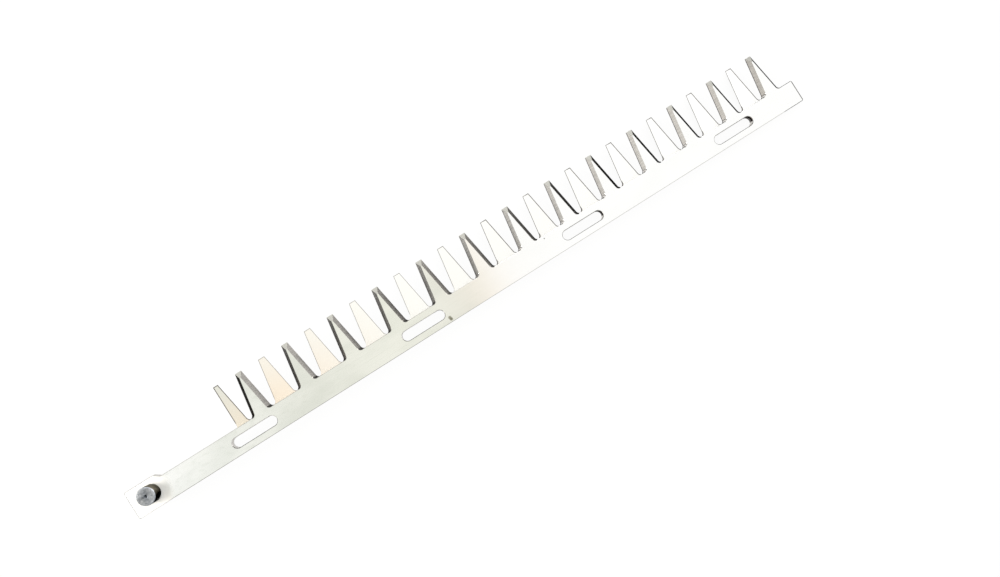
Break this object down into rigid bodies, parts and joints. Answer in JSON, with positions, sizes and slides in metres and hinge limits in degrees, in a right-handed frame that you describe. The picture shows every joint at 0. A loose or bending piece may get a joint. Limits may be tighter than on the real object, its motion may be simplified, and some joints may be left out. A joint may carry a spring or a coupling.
{
  "type": "hedge trimmer blade pair",
  "caption": "Upper and lower single-sided hedge trimmer blades laid together: slotted steel bars with tapered, ground teeth and a riveted drive pin at the end of each.",
  "frame": {"origin": "axis of the upper drive pin, at the upper blade's outer face", "axes": "+X along the blades to their free end, +Y towards the teeth, +Z along the upper drive pin, away from the blades"},
  "size_m": [0.491, 0.0435, 0.023],
  "materials": {
    "upper_blade_steel": "bright rolled strip with ground bevels",
    "lower_blade_steel": "ground mating face, bevels ground on the outer side",
    "drive_pin_steel": "turned and hardened, dark"
  },
  "bodies": {
    "root": {"upper_blade": "upper_blade_steel", "upper_drive_pin": "drive_pin_steel", "lower_blade": "lower_blade_steel", "lower_drive_pin": "drive_pin_steel"}
  },
  "joints": []
}
